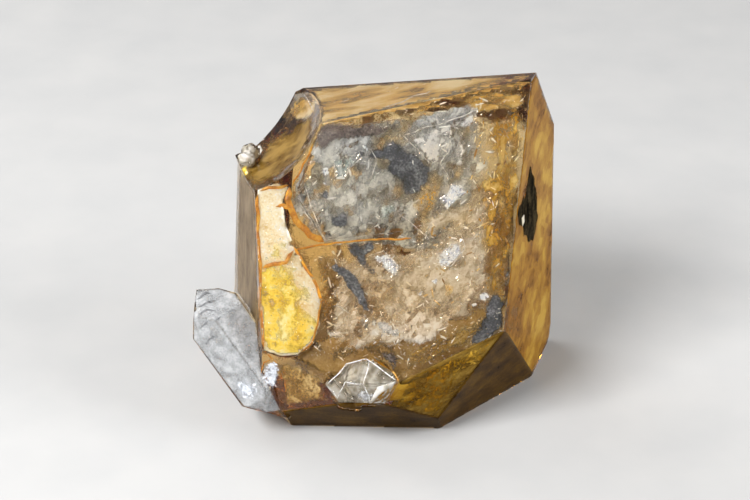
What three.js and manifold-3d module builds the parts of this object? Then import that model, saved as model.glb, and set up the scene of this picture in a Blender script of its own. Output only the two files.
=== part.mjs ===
// A quartz cluster of the short, doubly terminated habit: one large golden-brown crystal with small clear
// crystals grown into its left side, its front edge and its left shoulder. It is all one piece of stone.
// Millimetres, +Z up. The large front face looks towards -Y, and the cluster rests on its flat base at z = 0.
import * as THREE from "three";
import { ConvexGeometry } from "three/addons/geometries/ConvexGeometry.js";
import { mergeVertices } from "three/addons/utils/BufferGeometryUtils.js";
import Module from "manifold-3d";

const wasm = await Module();
wasm.setup();

// Large crystal. A face is the way it looks and its distance from the crystal's centre. Azimuth 0 looks to
// the front (-Y) and 90 to the right (+X), and tilt is the angle above the horizon.
const BLOCK_CENTRE = [3, 4, 28];
const BLOCK_FACES = {
  base: { azimuth: 0, tilt: -90, distance: 28 },
  front: { azimuth: 0, tilt: 25, distance: 14.5 },
  top: { azimuth: -129.5, tilt: 75, distance: 28.1 },
  right: { azimuth: 72, tilt: 2, distance: 24.2 },
  left: { azimuth: -77.8, tilt: 3, distance: 25.95 },
  back: { azimuth: 170, tilt: -2, distance: 20.5 },
  backLeft: { azimuth: -128, tilt: 3, distance: 29.4 },
  backShoulder: { azimuth: 168.5, tilt: 39.5, distance: 27.8 },
  frontLeft: { azimuth: -13, tilt: 0, distance: 24.1 },
  underFront: { azimuth: -2, tilt: -35, distance: 29.6 },
  underMiddle: { azimuth: 15.5, tilt: -6.5, distance: 23.9 },
  underRight: { azimuth: 44, tilt: -22, distance: 27.4 },
  underLeft: { azimuth: -52, tilt: -34, distance: 35.7 },
  underBack: { azimuth: 176, tilt: -34, distance: 27.9 },
};

// Small crystals: hexagonal prisms with a six-sided point at both ends. The long axis leaves the centre along
// azimuth and tilt, and roll turns the prism about it. Setbacks, at the far and the near end, move every
// second face of that end out, which makes it smaller than its neighbours.
const PRISM_SIDES = 6;
const SIDE_CRYSTAL = {
  centre: [-23.5, -9.4, 13.4],
  azimuth: -124.5,
  tilt: 44.5,
  roll: 75,
  acrossFlats: 10.8,
  prismLength: 15.8,
  setbacks: [2.2, -0.9],
};
const FRONT_CRYSTAL = {
  centre: [-1, -18.3, 13.7],
  azimuth: 57,
  tilt: 22.5,
  roll: 5,
  acrossFlats: 8.2,
  prismLength: 2.5,
  setbacks: [0.6, 0.6],
};
const FRONT_CRYSTAL_TWIN = {
  centre: [-5.8, -18.2, 12.4],
  azimuth: 61,
  tilt: -40,
  roll: 49,
  acrossFlats: 5,
  prismLength: 4,
  setbacks: [0.4, 0.4],
};
const SHOULDER_CRYSTAL = {
  centre: [-22.7, 12.4, 43.4],
  azimuth: -30,
  tilt: 60,
  roll: 10,
  acrossFlats: 2.6,
  prismLength: 1.6,
  setbacks: [0.3, 0.3],
};
const SHOULDER_CRYSTAL_TWIN = {
  centre: [-23.4, 10.6, 42.6],
  azimuth: -75,
  tilt: 35,
  roll: 35,
  acrossFlats: 2.8,
  prismLength: 1.2,
  setbacks: [0.3, 0.3],
};
const SMALL_CRYSTALS = [
  SIDE_CRYSTAL,
  FRONT_CRYSTAL,
  FRONT_CRYSTAL_TWIN,
  SHOULDER_CRYSTAL,
  SHOULDER_CRYSTAL_TWIN,
];
// A point's faces lean 38.2 degrees from the long axis in every quartz crystal.
const POINT_ANGLE = 38.2;

// Smooth hollow that runs back through the upper left corner: a long ellipsoid, its back end turned left
// and down.
const HOLLOW_CENTRE = [-26.5, 12, 60];
const HOLLOW_RADII = [17.8, 36, 19.3];
const HOLLOW_TURN = 5;
const HOLLOW_DIP = 4;
const HOLLOW_SEGMENTS = [64, 40];

// An outline on a face is given right of and up from the point of that face nearest the crystal's centre.
// Shallow scar down the left of the front face, open to the left side.
const SCAR_OUTLINE = [
  [-27, 11.6],
  [-18.2, 12.2],
  [-19.2, 8.5],
  [-17.2, 1.8],
  [-12.4, -7.5],
  [-14, -15.8],
  [-18.8, -18.1],
  [-27, -13],
];
const SCAR_DEPTH = 0.9;
const SCAR_HEADROOM = 3;
const SCAR_STEPS = 8;

// Raised growth layers on three faces. Each one's top slopes from one height at its left end to another at
// its right end.
const GROWTH_LAYERS = [
  {
    face: "front",
    rise: { left: 1.2, right: -0.4 },
    outline: [
      [-13.3, 22.6],
      [-17.8, 10.3],
      [-12.3, 1.9],
      [14, 5],
      [14, 26.5],
    ],
  },
  {
    face: "back",
    rise: { left: -0.3, right: 1 },
    outline: [
      [-20, 8],
      [-14, -9],
      [4, -12],
      [11, -2],
      [5, 12],
    ],
  },
  {
    face: "backLeft",
    rise: { left: 0.9, right: 0.2 },
    outline: [
      [-6, -10],
      [5, -13],
      [7, 3],
      [-3, 8],
    ],
  },
];
const LAYER_EDGE = 1.3;
const LAYER_ROOT = 2;

const CORNER_TOLERANCE = 1e-4;

function radians(degrees) {
  return THREE.MathUtils.degToRad(degrees);
}

// Unit vector for an azimuth and a tilt in degrees.
function direction(azimuth, tilt) {
  const level = Math.cos(radians(tilt));
  const [sine, cosine] = [Math.sin(radians(azimuth)), Math.cos(radians(azimuth))];
  return new THREE.Vector3(sine * level, -cosine * level, Math.sin(radians(tilt)));
}

// Point where three planes meet, or null where they don't.
function meetingPoint(a, b, c) {
  const bc = new THREE.Vector3().crossVectors(b.normal, c.normal);
  const ca = new THREE.Vector3().crossVectors(c.normal, a.normal);
  const ab = new THREE.Vector3().crossVectors(a.normal, b.normal);
  const determinant = a.normal.dot(bc);
  if (Math.abs(determinant) < CORNER_TOLERANCE) return null;
  const sum = bc.multiplyScalar(a.distance).addScaledVector(ca, b.distance).addScaledVector(ab, c.distance);
  return sum.divideScalar(determinant);
}

// Corners of the convex body bounded by planes: every meeting point that lies behind all of them.
function corners(planes) {
  const found = [];
  planes.forEach((a, i) =>
    planes.slice(i + 1).forEach((b, j) =>
      planes.slice(i + j + 2).forEach((c) => {
        const point = meetingPoint(a, b, c);
        if (!point) return;
        const inside = planes.every((p) => p.normal.dot(point) <= p.distance + CORNER_TOLERANCE);
        const known = found.some((q) => q.distanceTo(point) < CORNER_TOLERANCE);
        if (inside && !known) found.push(point);
      }),
    ),
  );
  return found;
}

// Closed geometry as a solid that can be joined and cut.
function solid(geometry) {
  geometry.deleteAttribute("normal");
  geometry.deleteAttribute("uv");
  const merged = mergeVertices(geometry, CORNER_TOLERANCE);
  const vertProperties = new Float32Array(merged.attributes.position.array);
  const triVerts = new Uint32Array(merged.index.array);
  return new wasm.Manifold(new wasm.Mesh({ numProp: 3, vertProperties, triVerts }));
}

// Solid back to a geometry.
function geometryOf(body) {
  const mesh = body.getMesh();
  const geometry = new THREE.BufferGeometry();
  geometry.setAttribute("position", new THREE.BufferAttribute(mesh.vertProperties, 3));
  geometry.setIndex(new THREE.BufferAttribute(mesh.triVerts, 1));
  geometry.computeVertexNormals();
  return geometry;
}

// Convex crystal from its face planes, set at its centre.
function crystal(planes, centre) {
  const geometry = new ConvexGeometry(corners(planes));
  return solid(geometry.translate(...centre));
}

function largeCrystal() {
  const planes = Object.values(BLOCK_FACES).map(({ azimuth, tilt, distance }) => ({
    normal: direction(azimuth, tilt),
    distance,
  }));
  return crystal(planes, BLOCK_CENTRE);
}

function smallCrystal({ centre, azimuth, tilt, roll, acrossFlats, prismLength, setbacks }) {
  const axis = direction(azimuth, tilt);
  const level = new THREE.Vector3(0, 0, 1).cross(axis).normalize();
  const [along, across] = [Math.sin(radians(POINT_ANGLE)), Math.cos(radians(POINT_ANGLE))];
  const planes = [];
  for (let side = 0; side < PRISM_SIDES; side++) {
    const outward = level.clone().applyAxisAngle(axis, radians(roll + (360 / PRISM_SIDES) * side));
    planes.push({ normal: outward, distance: acrossFlats / 2 });
    for (const end of [0, 1]) {
      const normal = outward.clone().multiplyScalar(across).addScaledVector(axis, end ? -along : along);
      const start = prismLength / 2 + ((side + end) % 2 ? setbacks[end] : 0);
      planes.push({ normal, distance: (across * acrossFlats) / 2 + along * start });
    }
  }
  return crystal(planes, centre);
}

// Matrix that takes right, up and outward on a face of the large crystal into the part's frame.
function faceMatrix(name) {
  const { azimuth, tilt, distance } = BLOCK_FACES[name];
  const outward = direction(azimuth, tilt);
  const right = new THREE.Vector3(0, 0, 1).cross(outward).normalize();
  const up = new THREE.Vector3().crossVectors(outward, right);
  const origin = new THREE.Vector3(...BLOCK_CENTRE).addScaledVector(outward, distance);
  return new THREE.Matrix4().makeBasis(right, up, outward).setPosition(origin);
}

function hollow() {
  const ball = new THREE.SphereGeometry(1, ...HOLLOW_SEGMENTS);
  ball.scale(...HOLLOW_RADII).rotateX(radians(-HOLLOW_DIP)).rotateZ(radians(HOLLOW_TURN));
  return solid(ball.translate(...HOLLOW_CENTRE));
}

function scar() {
  const points = SCAR_OUTLINE.map(([right, up]) => new THREE.Vector3(right, up, 0));
  const curve = new THREE.CatmullRomCurve3(points, true, "centripetal");
  const outline = curve.getPoints(SCAR_STEPS * points.length).slice(0, -1);
  const shape = new THREE.Shape(outline.map(({ x, y }) => new THREE.Vector2(x, y)));
  const depth = SCAR_DEPTH + SCAR_HEADROOM;
  const geometry = new THREE.ExtrudeGeometry(shape, { depth, bevelEnabled: false });
  return solid(geometry.translate(0, 0, -SCAR_DEPTH).applyMatrix4(faceMatrix("front")));
}

function growthLayer({ face, rise, outline }) {
  const middle = new THREE.Vector2();
  const feet = outline.map(([right, up]) => new THREE.Vector2(right, up));
  feet.forEach((point) => middle.addScaledVector(point, 1 / feet.length));
  const reach = feet.map(({ x }) => x);
  const [leftEnd, rightEnd] = [Math.min(...reach), Math.max(...reach)];
  const points = feet.flatMap((point) => {
    const rim = point.clone().add(middle.clone().sub(point).setLength(LAYER_EDGE));
    const height = THREE.MathUtils.mapLinear(rim.x, leftEnd, rightEnd, rise.left, rise.right);
    return [new THREE.Vector3(point.x, point.y, -LAYER_ROOT), new THREE.Vector3(rim.x, rim.y, height)];
  });
  return solid(new ConvexGeometry(points).applyMatrix4(faceMatrix(face)));
}

function cluster() {
  let body = largeCrystal();
  for (const layer of GROWTH_LAYERS) {
    body = body.add(growthLayer(layer));
  }
  body = body.subtract(hollow()).subtract(scar());
  for (const small of SMALL_CRYSTALS) {
    body = body.add(smallCrystal(small));
  }
  return geometryOf(body);
}

// The origin is on the resting plane, under the middle of the cluster's box.
function centred(geometry) {
  geometry.computeBoundingBox();
  const middle = geometry.boundingBox.getCenter(new THREE.Vector3());
  return geometry.translate(-middle.x, -middle.y, -geometry.boundingBox.min.z);
}

const quartz = new THREE.MeshStandardMaterial({ color: 0xb08a50, roughness: 0.08, metalness: 0 });
const crystals = new THREE.Mesh(centred(cluster()), quartz);
crystals.name = "crystal_cluster";

const group = new THREE.Group();
group.add(crystals);

export default group;
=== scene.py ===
"""Looks of the quartz cluster: clear quartz with veils, dark films, iron stains and a stained scar."""

import math

import bmesh
import bpy
import numpy as np
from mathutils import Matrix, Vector, noise
from mathutils.bvhtree import BVHTree
from mathutils.geometry import delaunay_2d_cdt


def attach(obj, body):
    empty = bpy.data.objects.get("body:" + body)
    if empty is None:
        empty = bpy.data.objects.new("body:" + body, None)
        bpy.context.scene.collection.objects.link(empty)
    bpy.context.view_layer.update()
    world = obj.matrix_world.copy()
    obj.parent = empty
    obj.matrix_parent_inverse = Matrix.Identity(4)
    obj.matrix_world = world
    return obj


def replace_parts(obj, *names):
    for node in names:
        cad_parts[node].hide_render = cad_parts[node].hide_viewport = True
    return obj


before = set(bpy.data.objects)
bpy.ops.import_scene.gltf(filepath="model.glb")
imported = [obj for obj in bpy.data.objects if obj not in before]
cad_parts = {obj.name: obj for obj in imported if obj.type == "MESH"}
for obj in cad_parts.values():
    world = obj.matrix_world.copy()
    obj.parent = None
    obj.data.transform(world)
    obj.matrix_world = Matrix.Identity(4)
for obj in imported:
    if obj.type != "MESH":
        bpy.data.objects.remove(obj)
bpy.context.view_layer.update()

MM = 0.001
rng = np.random.default_rng(seed=11)

# Camera, at the photo's viewing angle
PHOTO_SIZE = (750, 500)
LENS = 100
SENSOR = 36
CLIP_START = 0.01
CAMERA_ELEVATION = math.radians(30)
CAMERA_DISTANCE = 0.375
CAMERA_TARGET = Vector((-0.77, -2.76, 30)) * MM

camera_back = Vector((0, -math.cos(CAMERA_ELEVATION), math.sin(CAMERA_ELEVATION)))
camera_right = Vector((1, 0, 0))
camera_up = camera_back.cross(camera_right)
camera_place = CAMERA_TARGET + camera_back * CAMERA_DISTANCE

# Flat views from a side: two from behind, in degrees, and how far off a view starts, in mm
BACK_VIEWS = ((180, 10), (232, 5))
SIDE_DISTANCE = 100
CLUSTER_MIDDLE = Vector((0, 0, 30)) * MM

# Floor and light
FLOOR_SIZE = 12
FLOOR_DROP = 0.02 * MM
SKY_COLOR = (1, 0.99, 0.97, 1)
SKY_STRENGTH = 0.3
KEY_PLACE = Vector((-0.34, -0.33, 0.48))
BACK_PLACE = Vector((-0.35, 0.4, 0.5))
SIDE_PLACE = Vector((0.5, -0.15, 0.3))

# Quartz
QUARTZ_IOR = 1.544
ABSORPTION_COLOR = (0.88, 0.62, 0.0, 1)
ABSORPTION_DENSITY = 48
EDGE_WIDTH = 0.09 * MM
SHARP_ANGLE = math.radians(11)
FLAT_ANGLE = math.radians(0.5)
WELD_DISTANCE = 0.002 * MM

# How films lie in the quartz and on it, with a bump's length in spacings
SKIN = 0.1 * MM
LEAST_DEPTH = 1.5 * SKIN
FILM_THICKNESS = 0.02 * MM
LAYER_STEP = 2 * FILM_THICKNESS
LONGEST_SIDE = 3.5 * MM
BUMP_LENGTH = 8
BUMP_CHANGE = 31
TRIANGLES_INSIDE = 1
SAME_POINT = 0.0001

# Edges of films, with a bulge's length in steps, spots and strokes
BULGE_LENGTH = 2.5
NOISE_LEVEL = 0.5
NOISE_SHIFT = Vector((9, 9, 9))
SPOT_SIDES = 7
STROKE_STEP = 6
STROKE_SHAKE = 2

# Patterns of films
GRAIN_SIZE = 0.35 * MM
GRAIN_DETAIL = 2.0
PATCH_ROUGHNESS = 0.66
PATCH_DISTORTION = 0.3
PLATES_PER_PATCH = 4.5
PLATE_LEVELS = (0.25, 0.75)
COLOR_LEVELS = (0.36, 0.64)
# Levels of the specks that are painted white as glints
SPARKLE_LEVELS = (0.64, 0.7)
EDGE_THINNING = 0.4
MIX_COLOR_A = 6
MIX_COLOR_B = 7
MIX_COLOR_RESULT = 2
WHITE = (1, 1, 1, 1)

# Scales
SCALE_RIM = 6
SCALE_BULGE = 0.08
RIM_SHIFT = 0.3
RIM_REACH = (0.5, 1)
TRIES_PER_SCALE = 40
SPARK_LEAN = math.radians(9)
SPARK_STRETCH = (1, 1.8)
SPARK_CELLS = 900.0
SPLINTER_LEAN = math.radians(15)
SPLINTER_STRETCH = (1.5, 7)
SPLINTER_SPREAD = 30
SPLINTER_CELLS = 500.0

# Outlines, in photo pixels unless a heading says mm

# Faces of the crystals
TOP_FACE = [(303, 89), (420, 81), (534, 74), (530, 79), (420, 102), (321, 124), (321, 108), (312, 94)]
LEFT_FACE = [
    (240, 165), (249, 184), (255, 193), (259, 345), (254, 320), (243, 300), (237, 291), (238, 210),
]
HOLLOW = [
    (296, 122), (312, 118), (319, 124), (312, 140), (304, 158), (290, 171), (276, 180), (256, 188),
    (248, 181), (243, 168), (262, 150),
]
LOBE = [(289, 100), (303, 90), (316, 100), (320, 118), (298, 122), (286, 118)]
LOWER_LEFT = [
    (264, 354), (290, 359), (324, 374), (326, 390), (339, 404), (283, 410), (277, 382), (262, 370),
]
UNDER_FRONT = [(401, 381), (502, 331), (506, 334), (472, 376), (438, 420), (390, 407), (396, 394)]
UNDER_RIGHT = [(503, 331), (507, 333), (533, 374), (531, 379), (441, 430), (437, 418)]
UNDERSIDE = [(283, 411), (340, 403), (383, 403), (437, 417), (442, 430), (293, 427)]
SIDE_CRYSTAL = [
    (197, 291), (219, 289), (235, 294), (256, 324), (261, 371), (280, 410), (266, 412), (244, 406),
    (194, 339), (194, 306),
]
FRONT_CRYSTAL = [
    (326, 385), (346, 364), (369, 360), (396, 376), (397, 383), (386, 403), (368, 405), (340, 404),
]
FRONT_CRYSTAL_FACET = [(396, 381), (377, 387), (369, 404), (384, 404)]
SHOULDER = [(236, 150), (244, 143), (258, 142), (263, 150), (252, 168), (240, 164)]

# Zones behind the front face
WINDOW = [
    (312, 131), (370, 120), (428, 112), (480, 98), (516, 92), (520, 160), (512, 225), (484, 262),
    (410, 250), (322, 246), (300, 224), (288, 202),
]
RIGHT_EDGE = [
    (500, 190), (506, 120), (526, 84), (530, 84), (522, 170), (506, 325), (496, 322), (500, 250),
]
WINDOW_RIGHT = [(512, 80), (518, 160), (510, 225), (478, 275)]
MIDDLE = [
    (318, 244), (410, 232), (480, 205), (498, 250), (494, 305), (476, 330), (430, 358), (385, 366),
    (330, 364), (308, 340), (318, 300),
]
MIDDLE_LEFT = [
    (300, 250), (350, 246), (350, 300), (345, 345), (330, 362), (300, 358), (322, 320), (322, 300),
]
UPPER_RIGHT = [(464, 108), (536, 78), (532, 130), (526, 170), (500, 180), (478, 175)]
RIGHT_STREAKS = [(462, 180), (535, 100), (527, 220), (514, 335), (486, 330), (472, 250)]
TOP_STRIP = [
    (319, 127), (420, 104), (529, 81), (528, 110), (478, 114), (428, 116), (370, 124), (316, 138),
]
LOWER_EDGE = [
    (290, 346), (326, 336), (400, 334), (440, 324), (490, 308), (508, 320), (506, 342), (395, 400),
    (325, 386), (290, 368),
]
BESIDE_FRONT_CRYSTAL = [(380, 362), (410, 358), (414, 380), (398, 392), (388, 392)]
BELOW_FRONT_CRYSTAL = [(334, 402), (372, 403), (372, 411), (336, 411)]
LOWER_MIDDLE = [(326, 345), (400, 335), (410, 378), (396, 376), (372, 358), (348, 362), (328, 372)]
LOWER_RIGHT = [(394, 386), (400, 345), (450, 325), (490, 305), (505, 310), (503, 331), (440, 365)]

# The scar
SCAR = [
    (257, 190), (276, 183), (288, 187), (283, 205), (286, 226), (296, 250), (316, 284), (321, 300),
    (320, 325), (312, 344), (298, 355), (280, 356), (263, 350), (258, 260),
]
SCAR_YELLOW = [
    (259, 250), (296, 252), (316, 284), (320, 300), (319, 325), (311, 343), (298, 354), (280, 355),
    (264, 349), (260, 300),
]
SCAR_WHITE_EDGE = [(259, 248), (296, 252), (316, 284), (321, 305)]
SHOULDER_STAIN = [(240, 166), (248, 162), (250, 186), (246, 200), (241, 190)]

# Dark inclusions, then painted shade
DARK_TRIANGLE = [
    (367, 160), (372, 147), (391, 138), (404, 143), (420, 159), (434, 166), (430, 180), (416, 197),
    (405, 196), (398, 181), (384, 170), (388, 162),
]
DARK_STREAK = [
    (330, 268), (337, 262), (350, 270), (358, 277), (364, 292), (371, 312), (365, 313), (350, 292),
    (340, 277),
]
DARK_PATCH = [
    (343, 246), (352, 240), (375, 238), (378, 249), (368, 257), (379, 270), (371, 279), (354, 264),
]
DARK_CORNER = [
    (484, 297), (498, 289), (509, 302), (504, 328), (480, 349), (465, 346), (473, 330), (483, 313),
]
SLATE_PATCH = [(324, 212), (346, 208), (352, 222), (346, 232), (332, 231)]
GREY_STREAK = [(505, 250), (514, 246), (512, 288), (503, 296)]
DARK_WEDGE = [(354, 153), (364, 149), (367, 160), (360, 159)]
DARK_SPOTS = [
    (337, 254, 3), (326, 275, 3), (326, 195, 4), (305, 252, 2), (303, 131, 2), (306, 140, 3),
    (361, 212, 2),
]
# Painted shade: the dark band under the top face's front edge, the shade beside the front crystal and a
# down-facing lower facet
DARK_BAND = [
    (308, 126), (325, 120), (350, 120), (412, 126), (380, 138), (336, 144), (321, 155), (314, 146),
]
DARK_BELOW = [(379, 351), (392, 349), (402, 356), (400, 370), (394, 382), (386, 366)]
DARK_FACET = [(466, 366), (484, 358), (512, 348), (522, 358), (500, 374), (478, 376)]

# Seen from behind and from the right, in mm right and down of the cluster's middle
WHOLE_BACK = [(-36, -34), (36, -34), (36, 32), (-36, 32)]
RIGHT_SIDE = [(-30, -33), (30, -33), (30, 31), (-30, 31)]
BLACK_INCLUSION = [
    (-0.5, -16.5), (2, -13), (4.5, -8), (6, -2.5), (2.5, 2), (0, 0), (-4.5, -4), (-4, -10.5),
]
BLACK_WING = [(-9, -11.5), (-5, -11.5), (-1, -9.5), (2, -5), (-3, -4), (-8, -8)]
INCLUSION_FLECK = [(-5.6, -8.2), (-4, -8), (-3.8, -6.4), (-5.2, -6.2)]

# Bright inclusions, with painted glints, highlights and a painted reflection where noted
WHITE_TRIANGLE = [
    (403, 135), (414, 135), (450, 121), (478, 110), (478, 122), (468, 132), (453, 128), (449, 150),
    (439, 166), (428, 164),
]
PALE_PATCH = [(454, 138), (470, 134), (472, 172), (458, 182), (446, 168)]
# Painted glint: the lilac-white flash
LILAC_PATCH = [(440, 198), (448, 192), (451, 182), (462, 183), (467, 194), (456, 201), (446, 211)]
# Painted reflection: a glassy plate that shows pale blue-grey
GLASSY_PLATE = [
    (332, 158), (346, 156), (358, 150), (362, 158), (350, 168), (345, 181), (336, 183), (331, 170),
]
# Painted glints: a lilac-white spot and a white spike
LILAC_SPOT = [(318, 168), (328, 165), (331, 173), (324, 177)]
WHITE_SPIKE = [(361, 142), (370, 146), (372, 151), (367, 160), (363, 150)]
BLUE_HAZE = [(378, 202), (398, 200), (402, 212), (390, 224), (380, 230), (376, 214)]
WHITE_LENS = [(367, 256), (384, 250), (397, 260), (402, 270), (394, 279), (380, 267)]
WHITE_VEIL = [(432, 252), (440, 244), (450, 238), (464, 238), (466, 256), (454, 270), (440, 268)]
PALE_MIDDLE = [
    (360, 276), (400, 246), (428, 228), (456, 216), (494, 218), (502, 256), (494, 302), (456, 330),
    (416, 330), (376, 318),
]
PALE_RIGHT = [
    (404, 222), (428, 194), (448, 190), (482, 178), (498, 196), (494, 240), (466, 252), (426, 250),
]
# Painted highlights on the white lens and veil, and painted glints as white chips
LENS_SHINE = [(376, 258), (386, 253), (399, 264), (400, 271), (392, 275), (382, 266)]
VEIL_SHINE = [(438, 262), (448, 250), (461, 241), (463, 252), (453, 265), (443, 269)]
WHITE_CHIPS = [
    (420, 293, 4), (474, 305, 3), (461, 304, 3), (484, 297, 5), (435, 282, 5), (325, 184, 3),
    (413, 241, 3),
]
SPECKLED_ZONE = [
    (338, 322), (358, 308), (384, 311), (404, 318), (410, 334), (404, 347), (380, 347), (366, 336),
]
# Painted sparkle on the side crystal
SIDE_SPARKLE = [(228, 380), (244, 372), (262, 382), (262, 398), (246, 406), (232, 394)]
LEAF = [(259, 378), (264, 362), (276, 358), (282, 366), (278, 388), (268, 394)]
# Painted highlight on the front crystal
FRONT_CRYSTAL_SHINE = [(352, 392), (364, 386), (382, 394), (386, 402), (368, 405), (350, 404)]

# Golden patches and streaks
GOLDEN_PATCHES = [
    [(438, 280), (450, 275), (460, 284), (456, 300), (442, 302)],
    [(374, 292), (386, 288), (392, 300), (380, 308)],
    [(404, 298), (416, 294), (424, 304), (412, 312)],
    [(469, 280), (476, 276), (479, 298), (472, 304)],
    [(481, 258), (488, 238), (492, 236), (487, 262)],
    [(490, 250), (504, 246), (503, 290), (492, 294)],
    [(492, 190), (504, 184), (510, 205), (500, 228), (494, 222)],
    [(502, 156), (513, 150), (517, 160), (506, 180)],
    [(324, 340), (330, 336), (331, 352), (339, 367), (331, 365)],
    [(420, 186), (438, 170), (446, 186), (438, 212), (420, 222), (406, 208)],
]

# Lines: bright cracks, painted highlights on the top's left end and along the edges of the front crystal,
# and dashes on the side crystal
BRIGHT_LINES = [
    [(403, 135), (418, 150), (434, 166)],
    [(403, 135), (440, 124), (478, 110)],
    [(449, 126), (449, 152), (439, 166)],
    [(452, 122), (456, 131)],
    [(440, 164), (446, 172), (452, 181)],
    [(344, 153), (350, 164), (346, 180)],
    [(334, 160), (335, 178)],
    [(358, 150), (361, 158), (350, 168)],
    [(370, 148), (377, 160), (372, 176)],
    [(296, 192), (302, 206), (314, 226)],
    [(304, 184), (310, 204), (322, 232)],
    [(400, 214), (414, 226), (430, 240)],
    [(367, 256), (384, 251), (401, 270)],
    [(376, 262), (390, 272), (400, 272)],
    [(434, 262), (450, 266), (464, 250)],
    [(460, 234), (465, 246), (460, 260)],
    [(336, 304), (350, 314)],
    [(384, 108), (404, 101), (432, 90)],
    [(338, 102), (352, 98)],
    # Painted highlight at the top's left end
    [(302, 92), (308, 100), (314, 112)],
]
# Painted highlights along the front crystal's edges
FRONT_CRYSTAL_EDGES = [
    [(327, 384), (346, 364), (366, 359), (397, 381)],
    [(327, 386), (338, 398), (345, 382), (364, 384)],
    [(364, 384), (369, 360)],
    [(364, 384), (369, 404)],
]
GREY_DASHES = [
    [(196, 300), (203, 294), (212, 294)],
    [(197, 308), (206, 302), (218, 301)],
    [(198, 318), (206, 310), (216, 311)],
    [(200, 330), (209, 320)],
    [(206, 344), (214, 336), (220, 338)],
    [(212, 322), (222, 316)],
]

# Lines and their widths: the stain along cracks
ORANGE_LINES = [
    ([(258, 194), (258, 230), (260, 270), (260, 310), (264, 348)], 3.5),
    ([(259, 191), (268, 188), (289, 185)], 3),
    ([(289, 187), (288, 200), (291, 211), (300, 225), (310, 235), (324, 242)], 6.5),
    ([(275, 207), (283, 206), (292, 209)], 5),
    ([(313, 144), (303, 164), (292, 187)], 2),
    ([(295, 250), (326, 244), (365, 240), (412, 238)], 2),
    ([(294, 246), (306, 268), (318, 288), (321, 304)], 3),
    ([(321, 300), (318, 324), (311, 343), (300, 353)], 2),
    ([(262, 268), (272, 264), (286, 262), (294, 250)], 4),
    ([(264, 350), (276, 362), (284, 380)], 2),
    ([(284, 366), (286, 392)], 4),
    ([(260, 378), (263, 364), (274, 358)], 1.5),
]


# Camera and light
def add_aimed(name, data, place, way):
    """A camera or a light that looks this way from its place."""
    made = bpy.data.objects.new(name, data)
    made.location = place
    made.rotation_mode = "QUATERNION"
    made.rotation_quaternion = way.to_track_quat("-Z", "Y")
    bpy.context.scene.collection.objects.link(made)
    return made


def make_camera():
    data = bpy.data.cameras.new("camera")
    data.lens = LENS
    data.sensor_width = SENSOR
    data.clip_start = CLIP_START
    bpy.context.scene.camera = add_aimed("camera", data, camera_place, -camera_back)


def area_light(name, place, size, power):
    data = bpy.data.lights.new(name, "AREA")
    data.shape = "RECTANGLE"
    data.size, data.size_y = size
    data.energy = power
    add_aimed(name, data, place, CAMERA_TARGET - place)


def make_light():
    world = bpy.data.worlds.new("studio")
    world.use_nodes = True
    background = world.node_tree.nodes["Background"]
    background.inputs["Color"].default_value = SKY_COLOR
    background.inputs["Strength"].default_value = SKY_STRENGTH
    bpy.context.scene.world = world
    area_light("key_light", KEY_PLACE, size=(0.3, 0.25), power=8)
    area_light("back_light", BACK_PLACE, size=(0.5, 0.4), power=2.5)
    area_light("side_light", SIDE_PLACE, size=(0.3, 0.3), power=3)


# Material nodes
def new_material(name, **values):
    """A material and its shader, with the given values on the shader's sockets."""
    material = bpy.data.materials.new(name)
    material.use_nodes = True
    shader = material.node_tree.nodes["Principled BSDF"]
    for socket, value in values.items():
        shader.inputs[socket.replace("_", " ")].default_value = value
    return material, shader


def add_node(material, kind, **settings):
    """A node with the given settings, on its sockets or else on itself."""
    made = material.node_tree.nodes.new(kind)
    for key, value in settings.items():
        socket = made.inputs.get(key.replace("_", " "))
        if socket is None:
            setattr(made, key, value)
        else:
            socket.default_value = value
    return made


def link(source, target):
    source.id_data.links.new(source, target)


def object_coordinates(material):
    return add_node(material, "ShaderNodeTexCoord").outputs["Object"]


def patch_coordinates(material, where, patch, turn):
    """Coordinates that count in patches of this size in mm, turned by this many degrees about Y."""
    mapping = add_node(material, "ShaderNodeMapping", vector_type="TEXTURE")
    mapping.inputs["Scale"].default_value = [size * MM for size in patch]
    mapping.inputs["Rotation"].default_value = (0, math.radians(turn), 0)
    link(where, mapping.inputs["Vector"])
    return mapping.outputs["Vector"]


def noise_level(material, where, **settings):
    clouds = add_node(material, "ShaderNodeTexNoise", **settings)
    link(where, clouds.inputs["Vector"])
    return clouds.outputs["Fac"]


def cell_level(material, where, scale):
    """A level that is even in each cell and changes from cell to cell."""
    cells = add_node(material, "ShaderNodeTexVoronoi", Scale=scale)
    link(where, cells.inputs["Vector"])
    split = add_node(material, "ShaderNodeSeparateColor")
    link(cells.outputs["Color"], split.inputs["Color"])
    return split.outputs["Red"]


def mapped(material, level, **settings):
    """The level moved from one range to another."""
    made = add_node(material, "ShaderNodeMapRange", **settings)
    link(level, made.inputs["Value"])
    return made.outputs["Result"]


def mixed(material, share, first, second):
    """Two levels in one, with this share of the second."""
    made = add_node(material, "ShaderNodeMix", Factor=share)
    link(first, made.inputs["A"])
    link(second, made.inputs["B"])
    return made.outputs["Result"]


def whitened(material, color, level, amount):
    """The color turned white by this amount where the level is high, as painted glints."""
    low, high = SPARKLE_LEVELS
    bright = mapped(material, level, From_Min=low, From_Max=high, To_Max=amount)
    made = add_node(material, "ShaderNodeMix", data_type="RGBA")
    link(bright, made.inputs["Factor"])
    link(color, made.inputs[MIX_COLOR_A])
    made.inputs[MIX_COLOR_B].default_value = WHITE
    return made.outputs[MIX_COLOR_RESULT]


def color_ramp(material, factor, stops):
    ramp = add_node(material, "ShaderNodeValToRGB")
    elements = ramp.color_ramp.elements
    while len(elements) < len(stops):
        elements.new(0.5)
    for element, (place, color) in zip(elements, stops):
        element.position = place
        element.color = (*color, 1)
    link(factor, ramp.inputs["Fac"])
    return ramp.outputs["Color"]


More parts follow.
